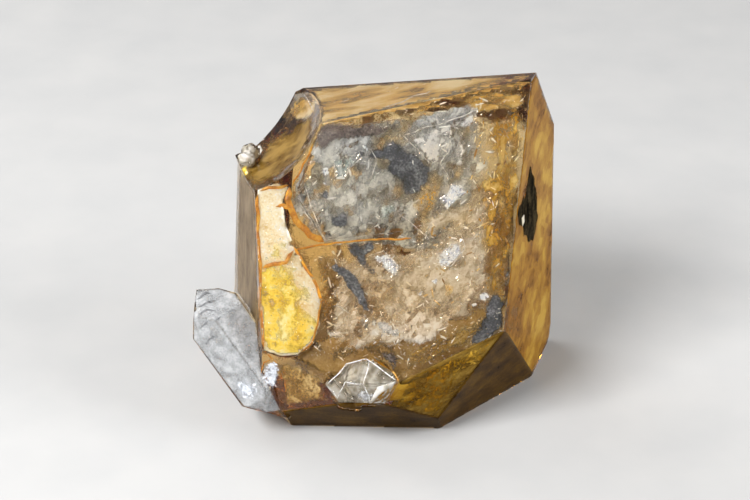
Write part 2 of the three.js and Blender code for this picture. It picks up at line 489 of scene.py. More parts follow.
# Materials
def quartz_material():
    material, shader = new_material("quartz", Transmission_Weight=1.0, IOR=QUARTZ_IOR, Roughness=0.02)
    cloud = noise_level(material, object_coordinates(material), Scale=90.0, Detail=4.0)
    tint = color_ramp(material, cloud, [(0.3, (1, 0.95, 0.87)), (0.7, (1, 1, 1))])
    link(tint, shader.inputs["Base Color"])
    absorption = add_node(
        material, "ShaderNodeVolumeAbsorption", Color=ABSORPTION_COLOR, Density=ABSORPTION_DENSITY
    )
    output = material.node_tree.nodes["Material Output"]
    link(absorption.outputs["Volume"], output.inputs["Volume"])
    return material


def floor_material():
    material, shader = new_material("floor", Roughness=0.85)
    grain = noise_level(material, object_coordinates(material), Scale=60.0, Detail=6.0)
    color = color_ramp(material, grain, [(0.3, (0.37, 0.37, 0.37)), (0.7, (0.4, 0.397, 0.393))])
    link(color, shader.inputs["Base Color"])
    return material


def film_alpha(material, pattern, cover, strength):
    """How much a film hides, from its pattern and from how far it is thinned at its edge."""
    fade = add_node(material, "ShaderNodeAttribute", attribute_name="fade")
    thinned = add_node(material, "ShaderNodeMath", operation="MULTIPLY_ADD")
    link(fade.outputs["Fac"], thinned.inputs[0])
    thinned.inputs[1].default_value = EDGE_THINNING
    thinned.inputs[2].default_value = -EDGE_THINNING
    total = add_node(material, "ShaderNodeMath", operation="ADD")
    link(pattern, total.inputs[0])
    link(thinned.outputs["Value"], total.inputs[1])
    start, full = cover
    return mapped(
        material, total.outputs["Value"], From_Min=start, From_Max=full, To_Max=strength,
        interpolation_type="SMOOTHSTEP",
    )


def film_material(
    name, colors, patch, cover, strength=1.0, grain=0.25, plates=0.0, detail=5.0, turn=0, sparkle=0.0,
    **values,
):
    """A patchy film.

    Colors go from the film's dark patches to its light ones. Patch is the patches' size in mm along
    each axis, turned by this many degrees about Y, and detail is how fine their noise gets. Grain and
    plates are the shares of fine specks and of flat cells in the pattern. Cover is where in the pattern
    a patch starts and where it is full, and strength is how much a full patch hides of what is behind
    it. Sparkle is how white the brightest specks are.
    """
    material, shader = new_material(name, **values)
    where = object_coordinates(material)
    in_patches = patch_coordinates(material, where, patch, turn)
    pattern = noise_level(
        material, in_patches, Scale=1.0, Detail=detail, Roughness=PATCH_ROUGHNESS,
        Distortion=PATCH_DISTORTION,
    )
    specks = noise_level(material, where, Scale=1 / GRAIN_SIZE, Detail=GRAIN_DETAIL)
    if plates:
        low, high = PLATE_LEVELS
        cells = cell_level(material, in_patches, PLATES_PER_PATCH)
        pattern = mixed(material, plates, pattern, mapped(material, cells, To_Min=low, To_Max=high))
    pattern = mixed(material, grain, pattern, specks)
    link(film_alpha(material, pattern, cover, strength), shader.inputs["Alpha"])
    places = np.linspace(*COLOR_LEVELS, len(colors))
    color = color_ramp(material, pattern, list(zip(places, colors)))
    # Painted glints: the brightest specks turned white
    if sparkle:
        color = whitened(material, color, specks, sparkle)
    link(color, shader.inputs["Base Color"])
    return material


def speckled_material(name, stops, scale, **values):
    """A material whose color changes from scale to scale."""
    material, shader = new_material(name, **values)
    level = cell_level(material, object_coordinates(material), scale)
    link(color_ramp(material, level, stops), shader.inputs["Base Color"])
    return material


def splinter_material(name, stops):
    return speckled_material(name, stops, SPLINTER_CELLS, Roughness=0.3, Alpha=0.9)


# Stage
def make_stage():
    bpy.ops.mesh.primitive_plane_add(size=FLOOR_SIZE)
    floor = bpy.context.object
    floor.name = "floor"
    floor.location.z = -FLOOR_DROP
    floor.data.materials.append(floor_material())


# The crystal
def node_mesh():
    """The cluster as one mesh of flat faces, without the triangles that lie in one plane."""
    mesh = bmesh.new()
    mesh.from_mesh(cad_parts["crystal_cluster"].data)
    bmesh.ops.remove_doubles(mesh, verts=mesh.verts, dist=WELD_DISTANCE)
    bmesh.ops.dissolve_limit(mesh, angle_limit=FLAT_ANGLE, verts=mesh.verts, edges=mesh.edges)
    return mesh


def add_piece(name, data, material):
    data.materials.append(material)
    piece = bpy.data.objects.new(name, data)
    bpy.context.scene.collection.objects.link(piece)
    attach(piece, "root")
    return piece


def make_crystal():
    mesh = node_mesh()
    sharp = [edge for edge in mesh.edges if edge.is_manifold and edge.calc_face_angle() > SHARP_ANGLE]
    bmesh.ops.bevel(
        mesh, geom=sharp, offset=EDGE_WIDTH, segments=2, profile=0.5, affect="EDGES", clamp_overlap=True
    )
    bmesh.ops.triangulate(mesh, faces=mesh.faces)
    data = bpy.data.meshes.new("quartz_crystals")
    mesh.to_mesh(data)
    mesh.free()
    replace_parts(add_piece("quartz_crystals", data, quartz_material()), "crystal_cluster")


# Finding places in the crystal from the photo or from a side
def photo_ray(x, y):
    """Start and direction of the line of sight through a photo pixel."""
    scale = SENSOR / LENS / PHOTO_SIZE[0]
    across = (x - PHOTO_SIZE[0] / 2) * scale
    down = (y - PHOTO_SIZE[1] / 2) * scale
    return camera_place, (camera_right * across - camera_up * down - camera_back).normalized()


def side_ray(azimuth, elevation):
    """The same for a flat view from a side: x and y are mm right and down of the cluster's middle."""
    turn = math.radians(azimuth)
    rise = math.radians(elevation)
    back = Vector((math.sin(turn) * math.cos(rise), -math.cos(turn) * math.cos(rise), math.sin(rise)))
    right = Vector((math.cos(turn), math.sin(turn), 0))
    up = back.cross(right)
    return lambda x, y: (CLUSTER_MIDDLE + (back * SIDE_DISTANCE + right * x - up * y) * MM, -back)


right_ray = side_ray(azimuth=90, elevation=0)


def refracted(ray, normal):
    """Direction of a ray inside the quartz after it enters through a face."""
    ratio = 1 / QUARTZ_IOR
    cosine = -normal.dot(ray)
    inner_cosine = math.sqrt(1 - ratio**2 * (1 - cosine**2))
    return (ratio * ray + (ratio * cosine - inner_cosine) * normal).normalized()


def place_inside(line, depth):
    """Point this deep along a line of sight into the crystal, and the way back to the eye from there.

    A depth below zero is a height above the face that the line meets, and the way is the face's normal.
    Where the line misses the crystal or the crystal is too thin, there is no point.
    """
    place, normal, _, _ = crystal_tree.ray_cast(*line)
    if place is None:
        return None
    ray = refracted(line[1], normal)
    _, _, _, room = crystal_tree.ray_cast(place + ray * SKIN / 2, ray)
    if room is None or room < 3 * SKIN:
        return None
    if depth < 0:
        return place - normal * depth, normal
    return place + ray * min(depth, room - SKIN), -ray


def glint_normal(line, centre, facing):
    """Normal of a tiny mirror in the crystal that shows the key light to the eye."""
    _, normal, _, _ = crystal_tree.ray_cast(*line)
    light = refracted((centre - KEY_PLACE).normalized(), normal)
    return (facing - light).normalized()


# Outlines
def inside_polygon(x, y, outline):
    inside = False
    for (x0, y0), (x1, y1) in zip(outline, outline[1:] + outline[:1]):
        if (y0 > y) != (y1 > y) and x < x0 + (y - y0) * (x1 - x0) / (y1 - y0):
            inside = not inside
    return inside


def edge_distance(point, line):
    """Distance from a point to the nearest stretch of a line."""
    best = math.inf
    for start, end in zip(line, line[1:]):
        side = Vector(end) - Vector(start)
        share = min(max((point - Vector(start)).dot(side) / side.length_squared, 0), 1)
        best = min(best, (Vector(start) + side * share - point).length)
    return best


def resampled(line, step, shake):
    """The line with a point every step or so, each moved a little to the side."""
    made = []
    for start, end in zip(line, line[1:]):
        count = max(round(math.dist(start, end) / step), 1)
        for k in range(count):
            x, y = Vector(start).lerp(Vector(end), k / count)
            where = Vector((x, y, NOISE_LEVEL)) / (BULGE_LENGTH * step)
            made.append((x + shake * noise.noise(where), y + shake * noise.noise(where + NOISE_SHIFT)))
    return made


def ragged(outline, step=5, shake=4):
    """The outline with an uneven edge."""
    return resampled(outline + outline[:1], step, shake)


def spot(x, y, radius):
    """Outline of a small round patch."""
    turns = [2 * math.pi * k / SPOT_SIDES for k in range(SPOT_SIDES)]
    return [(x + radius * math.cos(turn), y + radius * math.sin(turn)) for turn in turns]


def stroke(line, width):
    """Outline of a line that comes to a point at both ends."""
    points = [Vector(point) for point in resampled(line, STROKE_STEP, STROKE_SHAKE)] + [Vector(line[-1])]
    left, right = [], []
    for before, point, after in zip(points, points[1:], points[2:]):
        along = (after - before).normalized()
        across = Vector((-along.y, along.x)) * width / 2
        left.append(tuple(point + across))
        right.append(tuple(point - across))
    return [tuple(points[0])] + left + [tuple(points[-1])] + right[::-1]


# Films: thin curved sheets, closed, many to a mesh
class Films:
    """Sheets gathered one by one and made into one mesh."""

    def __init__(self):
        self.points, self.fades, self.faces = [], [], []

    def add(
        self, outline, depth=0, slope=(0, 0), bumps=0.5, fade=8, spacing=3, ray=photo_ray, layer=0,
        edge=None,
    ):
        """A sheet behind an outline, on the lines of sight that ray gives, with points a spacing apart.

        Depth and bumps are in mm, slope in mm per step right and down. With a layer the sheet lies on
        the face instead, a higher layer over a lower one. It gets thinner over the fade, measured from
        the outline or from the edge line, and with a fade of zero it is full up to its edge.
        """
        closed = outline + outline[:1]
        rim = [Vector(point) for point in resampled(closed, spacing, 0)]
        (left, top), (right, bottom) = np.min(outline, 0), np.max(outline, 0)
        middle = ((left + right) / 2, (top + bottom) / 2)
        grid = [(x, y) for x in np.arange(left, right, spacing) for y in np.arange(top, bottom, spacing)]
        inner = [
            Vector(point)
            for point in grid
            if inside_polygon(*point, outline) and edge_distance(Vector(point), closed) > spacing / 2
        ]
        rim_loop = list(range(len(rim)))
        made = delaunay_2d_cdt(rim + inner, [], [rim_loop], TRIANGLES_INSIDE, SAME_POINT)
        places, triangles = made[0], made[2]
        found = []
        for x, y in places:
            wave = noise.noise(Vector((x, y, depth * BUMP_CHANGE)) / (BUMP_LENGTH * spacing)) * bumps
            deep = depth + (x - middle[0]) * slope[0] + (y - middle[1]) * slope[1] + wave
            deep = -layer * LAYER_STEP if layer else max(deep * MM, LEAST_DEPTH)
            found.append(place_inside(ray(x, y), deep))
        fades = [min(edge_distance(place, edge or closed) / fade, 1) if fade else 1 for place in places]
        self.close(triangles, found, fades, thin_rim=fade > 0)

    def close(self, triangles, found, fades, thin_rim):
        """Keeps the triangles that are in the crystal, and gives them a second side and a rim."""
        whole = [face for face in triangles if all(found[k] is not None for k in face)]
        kept = [
            (i, j, k)
            for i, j, k in whole
            if max((found[a][0] - found[b][0]).length for a, b in ((i, j), (j, k), (k, i))) < LONGEST_SIDE
        ]
        used = sorted({k for face in kept for k in face})
        index = {k: len(self.points) + 2 * n for n, k in enumerate(used)}
        sides = {pair for i, j, k in kept for pair in ((i, j), (j, k), (k, i))}
        border = {k for pair in sides if pair[::-1] not in sides for k in pair}
        for k in used:
            centre, facing = found[k]
            self.points += [centre, centre - facing * FILM_THICKNESS]
            self.fades += [0.0 if thin_rim and k in border else fades[k]] * 2
        for i, j, k in kept:
            self.faces += [(index[i], index[j], index[k]), (index[k] + 1, index[j] + 1, index[i] + 1)]
        for i, j in sorted(sides):
            if (j, i) not in sides:
                self.faces.append((index[j], index[i], index[i] + 1, index[j] + 1))

    def make(self, name, colors, **look):
        """One piece of all the sheets, with a film material of its own."""
        data = bpy.data.meshes.new(name)
        data.from_pydata(self.points, [], self.faces)
        data.shade_smooth()
        fade = data.attributes.new("fade", "FLOAT", "POINT")
        fade.data.foreach_set("value", self.fades)
        add_piece(name, data, film_material(name, colors, **look))


# Scales: tiny thin lenses, many to a mesh
class Scales:
    """Tiny lenses gathered one by one and made into one mesh."""

    def __init__(self):
        self.rows = []

    def fill(self, outline, count, radius, depth, ways=None):
        """Lenses scattered behind an outline in the photo, with radius and depth in mm, least and most.

        They are sparks that show the key light to the eye. With ways, in degrees up from the photo's
        right, they are splinters that lie along one of the ways and face the eye.
        """
        (left, top), (right, bottom) = np.min(outline, 0), np.max(outline, 0)
        made = 0
        for _ in range(TRIES_PER_SCALE * count):
            if made == count:
                break
            x, y = rng.uniform(left, right), rng.uniform(top, bottom)
            found = place_inside(photo_ray(x, y), rng.uniform(*depth) * MM)
            if found is None or not inside_polygon(x, y, outline):
                continue
            centre, facing = found
            lean = Vector(rng.normal(0, SPLINTER_LEAN if ways else SPARK_LEAN, 3))
            size = radius[0] * (radius[1] / radius[0]) ** rng.random() ** 2 * MM
            if ways:
                normal = (facing + lean).normalized()
                turn = math.radians(rng.choice(ways) + rng.normal(0, SPLINTER_SPREAD))
                along = camera_right * math.cos(turn) + camera_up * math.sin(turn)
                side = along.cross(normal).cross(-normal).normalized()
                stretch = rng.uniform(*SPLINTER_STRETCH)
            else:
                normal = (glint_normal(photo_ray(x, y), centre, facing) + lean).normalized()
                side = normal.orthogonal().normalized()
                stretch = rng.uniform(*SPARK_STRETCH)
            self.rows.append((centre, normal, side, size, stretch))
            made += 1

    def make(self, name, material):
        """One piece of all the lenses."""
        count = len(self.rows)
        centre, normal, side = (np.array([row[k] for row in self.rows]) for k in range(3))
        radius, stretch = (np.array([row[k] for row in self.rows])[:, None] for k in (3, 4))
        other = np.cross(normal, side)
        step = np.arange(SCALE_RIM)
        start = rng.uniform(0, 2 * math.pi, (count, 1))
        shift = rng.uniform(-RIM_SHIFT, RIM_SHIFT, (count, SCALE_RIM))
        turn = start + (step + shift) * 2 * math.pi / SCALE_RIM
        reach = radius * rng.uniform(*RIM_REACH, (count, SCALE_RIM))
        rim = (
            centre[:, None]
            + side[:, None] * (reach * stretch * np.cos(turn))[..., None]
            + other[:, None] * (reach * np.sin(turn))[..., None]
        )
        bulge = normal * radius * SCALE_BULGE
        points = np.concatenate([rim, (centre + bulge)[:, None], (centre - bulge)[:, None]], 1)
        after = (step + 1) % SCALE_RIM
        front = np.stack([step, after, np.full(SCALE_RIM, SCALE_RIM)], 1)
        back = np.stack([after, step, np.full(SCALE_RIM, SCALE_RIM + 1)], 1)
        faces = np.concatenate([front, back])[None] + (np.arange(count) * (SCALE_RIM + 2))[:, None, None]
        data = bpy.data.meshes.new(name)
        data.from_pydata(points.reshape(-1, 3).tolist(), [], faces.reshape(-1, 3).tolist())
        add_piece(name, data, material)


# Stains at the back, the right and the top
def back_stain():
    films = Films()
    for view in BACK_VIEWS:
        films.add(WHOLE_BACK, depth=2, bumps=1.5, fade=2, spacing=1.5, ray=side_ray(*view))
    colors = [(0.3, 0.14, 0.03), (0.5, 0.32, 0.12), (0.75, 0.62, 0.42)]
    films.make("back_stain", colors, patch=(5, 5, 10), cover=(0.46, 0.62), strength=0.8, Roughness=0.5)


def right_stain():
    films = Films()
    films.add(RIGHT_SIDE, fade=0, spacing=0.8, ray=right_ray, layer=1)
    colors = [(0.13, 0.045, 0.002), (0.24, 0.1, 0.005), (0.34, 0.165, 0.01), (0.5, 0.3, 0.04)]
    films.make(
        "right_stain", colors, patch=(9, 12, 9), cover=(0.16, 0.54), strength=0.88, grain=0.1,
        plates=0.2, detail=3.5, Roughness=0.35, Specular_IOR_Level=0.05,
    )


def top_stain():
    films = Films()
    films.add(TOP_FACE, depth=1.6, bumps=0.6, fade=1, spacing=2.5)
    films.add(ragged(LOBE), depth=0.8, bumps=0.2, fade=6)
    films.add(ragged(TOP_STRIP, step=8, shake=10), depth=2.5, bumps=0.6)
    colors = [(0.62, 0.38, 0.09), (0.77, 0.51, 0.14), (0.99, 0.83, 0.5)]
    films.make(
        "top_stain", colors, patch=(12, 6, 4), cover=(0.24, 0.55), strength=0.75, grain=0.1, detail=3.5,
        turn=-8, Roughness=0.5,
    )


# Stains behind the front face
def amber_streaks():
    films = Films()
    streaks = ragged(RIGHT_STREAKS, step=8, shake=16)
    films.add(ragged(UPPER_RIGHT, step=8, shake=16), depth=4, bumps=1.5, fade=24, spacing=4)
    films.add(streaks, depth=2.5, bumps=1, fade=22, spacing=4)
    films.add(streaks, depth=5, bumps=1.5, fade=16, spacing=4)
    films.add(ragged(RIGHT_EDGE, step=6, shake=6), depth=0.6, bumps=0.2, spacing=2)
    colors = [(0.16, 0.055, 0.002), (0.38, 0.17, 0.005), (0.6, 0.35, 0.02), (0.84, 0.64, 0.22)]
    films.make(
        "amber_streaks", colors, patch=(3, 3, 14), cover=(0.34, 0.6), strength=0.8, grain=0.15,
        detail=3.5, turn=5, Roughness=0.45,
    )


def olive_stain():
    films = Films()
    films.add(ragged(LOWER_LEFT, shake=2), layer=1)
    films.add(ragged(MIDDLE_LEFT), depth=5, bumps=1.5, fade=14, spacing=4)
    films.add(ragged(LOWER_MIDDLE), depth=3, bumps=1.5, fade=10, spacing=4)
    colors = [(0.11, 0.055, 0.01), (0.28, 0.155, 0.035), (0.6, 0.44, 0.2)]
    films.make(
        "olive_stain", colors, patch=(3, 3, 4), cover=(0.3, 0.56), strength=0.75, plates=0.2,
        Roughness=0.35,
    )


def brown_bands():
    films = Films()
    films.add(ragged(LOWER_RIGHT), depth=2.5, bumps=1, fade=12, spacing=4)
    films.add(ragged(UNDER_FRONT), depth=1.5, fade=4, spacing=4)
    colors = [(0.12, 0.055, 0.006), (0.3, 0.16, 0.02), (0.52, 0.33, 0.07), (0.82, 0.66, 0.32)]
    films.make(
        "brown_bands", colors, patch=(9, 5, 1.6), cover=(0.36, 0.56), strength=0.75, turn=-28,
        Roughness=0.4,
    )


def lower_edge():
    films = Films()
    films.add(ragged(LOWER_EDGE, step=8, shake=10), depth=3.5, bumps=1, fade=10)
    films.add(BESIDE_FRONT_CRYSTAL, depth=3, bumps=0.3, fade=0, spacing=1.2)
    colors = [(0.26, 0.14, 0.025), (0.44, 0.27, 0.07), (0.66, 0.48, 0.22)]
    films.make("lower_edge", colors, patch=(4, 4, 3), cover=(0.1, 0.35), strength=0.85, Roughness=0.4)


# Painted shade on the lower faces, brown with painted shade in the hollow, and a painted dark reflection
# on the left face
# Painted shade: a dark brown skin on the lower front facet, which faces down
def painted_shade_under_front():
    films = Films()
    films.add(UNDER_FRONT, fade=0, spacing=1.5, layer=1)
    colors = [(0.055, 0.027, 0.002), (0.12, 0.063, 0.006), (0.24, 0.145, 0.025)]
    films.make(
        "painted_shade_under_front", colors, patch=(7, 5, 2), cover=(0.1, 0.45), strength=0.84, grain=0.15,
        detail=4.0, turn=-28, Roughness=0.4, Specular_IOR_Level=0.1,
    )


# Painted shade: dark skins on the lower right facet and the underside, and a dark film below the front
# crystal
def painted_shade_underside():
    films = Films()
    films.add(UNDER_RIGHT, fade=0, spacing=1.5, layer=3)
    films.add(UNDERSIDE, fade=0, spacing=1, layer=2)
    films.add(BELOW_FRONT_CRYSTAL, depth=0.5, bumps=0.1, fade=0, spacing=1)
    colors = [(0.024, 0.01, 0.0006), (0.055, 0.025, 0.002), (0.11, 0.056, 0.006)]
    films.make(
        "painted_shade_underside", colors, patch=(8, 4, 3), cover=(0.1, 0.4), strength=0.92, Roughness=0.4,
        Specular_IOR_Level=0.06,
    )


# Brown skin in the hollow: the crystal's brown tone, darkened with painted shade
def hollow_skin():
    films = Films()
    films.add(ragged(HOLLOW), layer=1)
    colors = [(0.11, 0.056, 0.007), (0.16, 0.087, 0.012), (0.28, 0.17, 0.04)]
    films.make(
        "hollow_skin", colors, patch=(4, 4, 4), cover=(0.1, 0.5), strength=0.78, grain=0.06, detail=2.5,
        Roughness=0.3, Specular_IOR_Level=0.2,
    )


# Painted reflection: a dark grey-brown skin on the left face, in place of the dark surroundings it
# reflects
def painted_reflection_left():
    films = Films()
    films.add(LEFT_FACE, fade=2, spacing=1.5, layer=1)
    colors = [(0.1, 0.06, 0.022), (0.15, 0.098, 0.045), (0.26, 0.19, 0.11)]
    films.make(
        "painted_reflection_left", colors, patch=(4, 4, 7), cover=(0.05, 0.5), strength=0.8, grain=0.12, detail=4.0,
        Roughness=0.4, Specular_IOR_Level=0.2,
    )


# Veils behind the front face
def window_veil():
    films = Films()
    sheets = [(3, (0.01, 0.02), 2, 50), (6, (-0.02, 0.02), 2.5, 50), (9, (0.02, -0.03), 2.5, 60)]
    for depth, slope, bumps, fade in sheets:
        films.add(ragged(WINDOW), depth, slope, bumps, fade, spacing=4, edge=WINDOW_RIGHT)
    colors = [(0.13, 0.145, 0.175), (0.46, 0.5, 0.57), (0.93, 0.97, 1)]
    films.make(
        "window_veil", colors, patch=(5, 5, 8), cover=(0.4, 0.6), strength=0.8, grain=0.1, plates=0.22,
        turn=30, sparkle=0.6, Roughness=0.35,
    )


def middle_haze():
    films = Films()
    outline = ragged(MIDDLE, step=8, shake=12)
    films.add(outline, depth=2.5, slope=(0.01, -0.01), bumps=2, fade=24, spacing=4)
    films.add(outline, depth=5, bumps=2.5, fade=22, spacing=4)
    films.add(outline, depth=8, bumps=2.5, fade=20, spacing=4)
    colors = [(0.4, 0.26, 0.09), (0.76, 0.61, 0.41), (1, 0.98, 0.95)]
    films.make(
        "middle_haze", colors, patch=(4.5, 4.5, 7), cover=(0.4, 0.6), strength=0.8, grain=0.1,
        plates=0.22, turn=40, sparkle=0.6, Roughness=0.35,
    )


def pale_glow():
    films = Films()
    films.add(ragged(PALE_MIDDLE), depth=3, bumps=1, fade=32)
    films.add(ragged(PALE_RIGHT), depth=3, bumps=1, fade=30)
    colors = [(0.56, 0.44, 0.27), (0.84, 0.74, 0.58), (1, 0.98, 0.95)]
    films.make(
        "pale_glow", colors, patch=(3, 3, 5), cover=(0.18, 0.58), strength=0.75, grain=0.15,
        plates=0.25, turn=40, sparkle=0.5, Roughness=0.35,
    )


# Haze and skins of the small crystals
def milky_crystal():
    films = Films()
    films.add(SIDE_CRYSTAL, fade=0, spacing=2, layer=1)
    films.add(SIDE_CRYSTAL, depth=1.2, bumps=0.3, fade=2)
    colors = [(0.31, 0.32, 0.33), (0.38, 0.39, 0.4), (0.5, 0.51, 0.52)]
    films.make(
        "milky_crystal", colors, patch=(2, 2, 2), cover=(0.0, 0.7), strength=0.72, grain=0.2,
        detail=4.0, Roughness=0.25,
    )


def clear_crystal():
    films = Films()
    films.add(FRONT_CRYSTAL, depth=1.2, bumps=0.3, fade=0, spacing=1.2)
    films.add(FRONT_CRYSTAL_FACET, fade=0, spacing=1.2, layer=1)
    films.add(SHOULDER, fade=0, spacing=2, layer=1)
    colors = [(0.34, 0.31, 0.24), (0.48, 0.44, 0.37), (0.76, 0.74, 0.7)]
    films.make(
        "clear_crystal", colors, patch=(2, 2, 2), cover=(0.1, 0.5), strength=0.75, grain=0.05,
        detail=1.5, Roughness=0.2,
    )


# Bright and golden patches, plates and lines, with painted glints, sparkle, highlights and a painted
# reflection
def bright_patches():
    films = Films()
    films.add(ragged(WHITE_TRIANGLE, shake=2), depth=1.6, slope=(0.01, 0.01), fade=5)
    films.add(ragged(PALE_PATCH), depth=2, fade=12)
    films.add(ragged(SPECKLED_ZONE), depth=2, fade=14)
    films.add(ragged(WHITE_LENS, shake=2), depth=0.8, bumps=0.2, fade=3, spacing=2)
    films.add(ragged(WHITE_VEIL), depth=0.8, bumps=0.2, fade=9, spacing=2)
    # Painted highlight on the front crystal
    films.add(ragged(FRONT_CRYSTAL_SHINE, shake=2), depth=0.3, bumps=0.05, fade=5)
    colors = [(0.45, 0.47, 0.52), (0.85, 0.88, 0.94), (1, 1, 1)]
    films.make(
        "bright_patches", colors, patch=(3, 3, 5), cover=(0.36, 0.54), strength=0.85, grain=0.15,
        plates=0.35, turn=30, Roughness=0.3,
    )


# Painted sparkle: grey-white specks on the side crystal and its leaf-shaped lens
def glitter():
    films = Films()
    films.add(ragged(SIDE_SPARKLE), fade=10, spacing=2, layer=2)
    films.add(ragged(LEAF, shake=2), fade=6, spacing=2, layer=2)
    colors = [(0.3, 0.32, 0.36), (0.55, 0.58, 0.63), (0.85, 0.87, 0.9)]
    films.make("glitter", colors, patch=(0.8, 0.8, 0.8), cover=(0.3, 0.5), strength=0.75, Roughness=0.3)


# Painted glints: bright bluish-white flashes on the lilac patches, the spike, the lens and veil, and
# white chips
def painted_glints():
    films = Films()
    for outline in (LILAC_PATCH, LILAC_SPOT, WHITE_SPIKE, LENS_SHINE, VEIL_SHINE):
        films.add(ragged(outline, step=3, shake=3), depth=0.8, bumps=0.2, fade=2, spacing=2)
    for chip in WHITE_CHIPS:
        films.add(ragged(spot(*chip), step=2, shake=3), depth=0.8, fade=1.5, spacing=2)
    colors = [(0.46, 0.5, 0.68), (0.86, 0.92, 1), (1, 1, 1)]
    films.make(
        "painted_glints", colors, patch=(1.5, 1.5, 2.5), cover=(0.3, 0.46), strength=0.95, grain=0.1,
        plates=0.6, turn=30, Roughness=0.2,
    )


# A glassy plate with a painted pale blue-grey reflection, and a bluish haze
def glassy_plates():
    films = Films()
    films.add(ragged(GLASSY_PLATE, shake=2), depth=1.6, slope=(0.03, 0), fade=3)
    films.add(ragged(BLUE_HAZE), depth=2)
    colors = [(0.16, 0.21, 0.22), (0.42, 0.5, 0.53), (0.9, 0.96, 1)]
    films.make(
        "glassy_plates", colors, patch=(1, 1, 3), cover=(0.3, 0.5), strength=0.9, turn=20,
        Roughness=0.2,
    )


# Bright cracks, and painted highlights on the top and along the front crystal's edges
def cracks_and_highlights():
    films = Films()
    for line in BRIGHT_LINES:
        films.add(stroke(line, width=0.9), depth=0.6, bumps=0.2, fade=0, spacing=2)
    for line in FRONT_CRYSTAL_EDGES:
        films.add(stroke(line, width=0.8), fade=0, spacing=2, layer=1)
    colors = [(0.8, 0.8, 0.82), (1, 1, 1)]
    films.make("cracks_and_highlights", colors, patch=(1, 1, 1), cover=(0.3, 0.6), strength=0.9, Roughness=0.25)


def golden_patches():
    films = Films()
    for outline in GOLDEN_PATCHES:
        films.add(ragged(outline, shake=2), depth=1, bumps=0.2)
    colors = [(0.38, 0.17, 0.01), (0.62, 0.36, 0.05), (0.88, 0.66, 0.26)]
    films.make(
        "golden_patches", colors, patch=(2, 2, 4), cover=(0.3, 0.6), strength=0.55, Roughness=0.3
    )


# Dark inclusions, and painted shade
def dark_films():
    films = Films()
    films.add(ragged(DARK_TRIANGLE, shake=5), depth=1.2, slope=(0.01, 0.01), fade=4)
    for outline in (DARK_STREAK, DARK_WEDGE):
        films.add(ragged(outline, step=4, shake=3), depth=1, fade=2.5)
    for outline in (DARK_PATCH, SLATE_PATCH, GREY_STREAK, DARK_CORNER):
        films.add(ragged(outline, step=4, shake=4), depth=1.2, fade=6)
    for place in DARK_SPOTS:
        films.add(ragged(spot(*place), step=2), depth=0.9, fade=1.5, spacing=2)
    colors = [(0.02, 0.023, 0.028), (0.06, 0.067, 0.084), (0.28, 0.29, 0.33)]
    films.make(
        "dark_films", colors, patch=(3, 3, 3), cover=(0.26, 0.44), strength=0.93, grain=0.45,
        Roughness=0.5,
    )


def grey_dashes():
    films = Films()
    for line in GREY_DASHES:
        films.add(stroke(line, width=2), fade=0, spacing=2, layer=2)
    colors = [(0.1, 0.105, 0.11), (0.2, 0.205, 0.215), (0.3, 0.31, 0.32)]
    films.make(
        "grey_dashes", colors, patch=(1, 1, 1), cover=(0.15, 0.5), strength=0.6, grain=0.3,
        Roughness=0.35,
    )


# Painted shade: dark purple-brown films in the band under the top edge, beside the front crystal and on a
# down-facing facet
def painted_shade_films():
    films = Films()
    for outline in (DARK_BAND, DARK_BELOW, DARK_FACET):
        films.add(ragged(outline, shake=3), depth=1.1, fade=6)
    colors = [(0.05, 0.035, 0.035), (0.11, 0.085, 0.08), (0.3, 0.25, 0.23)]
    films.make(
        "painted_shade_films", colors, patch=(3, 3, 3), cover=(0.28, 0.5), strength=0.85, grain=0.4,
        Roughness=0.45,
    )


def black_inclusion():
    films = Films()
    for outline in (BLACK_INCLUSION, BLACK_WING):
        films.add(ragged(outline, step=1, shake=1), fade=0.7, spacing=0.5, ray=right_ray, layer=2)
    colors = [(0.002, 0.002, 0.002), (0.02, 0.016, 0.01), (0.08, 0.06, 0.03)]
    films.make(
        "black_inclusion", colors, patch=(1.5, 1.5, 4), cover=(0.2, 0.36), grain=0.3, Roughness=0.6,
        Specular_IOR_Level=0.0,
    )


def inclusion_fleck():
    films = Films()
    films.add(INCLUSION_FLECK, fade=0, spacing=0.5, ray=right_ray, layer=3)
    colors = [(0.6, 0.52, 0.36), (0.8, 0.74, 0.6)]
    films.make("inclusion_fleck", colors, patch=(1, 1, 1), cover=(0, 0.2), Roughness=0.4)


# The scar and the stain along cracks
def scar_skin():
    films = Films()
    films.add(ragged(SCAR, shake=1), depth=0.4, bumps=0.1, fade=1.5)
    colors = [(0.7, 0.5, 0.2), (0.92, 0.82, 0.58), (1, 0.98, 0.94)]
    films.make("scar_skin", colors, patch=(3, 3, 3), cover=(0.05, 0.25), sparkle=1.0, Roughness=0.25)


def scar_yellow():
    films = Films()
    films.add(SCAR_YELLOW, depth=0.26, bumps=0.02, fade=26, edge=SCAR_WHITE_EDGE)
    films.add(ragged(SCAR, shake=1), depth=0.22, bumps=0.02, fade=30)
    films.add(SHOULDER_STAIN, fade=3, layer=1)
    colors = [(0.8, 0.48, 0.015), (0.98, 0.75, 0.11), (1, 0.92, 0.5)]
    films.make(
        "scar_yellow", colors, patch=(3, 3, 3), cover=(0.28, 0.5), strength=0.9, grain=0.08,
        sparkle=0.4, Roughness=0.25,
    )


def orange_lines():
    films = Films()
    for line, width in ORANGE_LINES:
        films.add(stroke(line, width), depth=0.16, bumps=0.01, fade=0, spacing=2)
    colors = [(0.4, 0.12, 0.005), (0.66, 0.27, 0.01), (0.85, 0.5, 0.06)]
    films.make("orange_lines", colors, patch=(2, 2, 2), cover=(0.0, 0.2), strength=0.95, Roughness=0.35)


